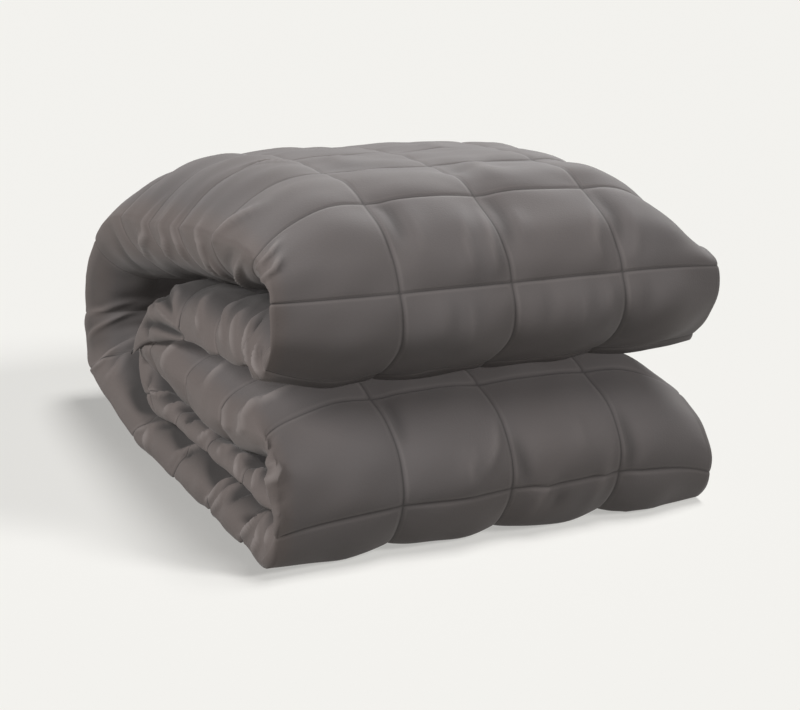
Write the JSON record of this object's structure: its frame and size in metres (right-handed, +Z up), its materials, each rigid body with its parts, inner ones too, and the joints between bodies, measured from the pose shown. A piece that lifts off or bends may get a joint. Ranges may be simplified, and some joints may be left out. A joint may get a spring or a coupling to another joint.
{
  "type": "folded weighted blanket",
  "caption": "Weighted blanket quilted in squares, folded back and forth into a bundle with two rolled folds at the front and an open hollow at the back.",
  "frame": {"origin": "centre of the bounding box at the level of the floor that the bundle rests on", "axes": "+X along the front folds, to the right seen from the front; +Y from the front folds to the bend at the back; +Z up"},
  "size_m": [0.3854, 0.5192, 0.2667],
  "materials": {
    "brushed_cloth": "soft brushed microfibre cloth, dark warm grey, matt with a faint sheen"
  },
  "bodies": {
    "root": {"quilted_blanket": "brushed_cloth"}
  },
  "joints": []
}
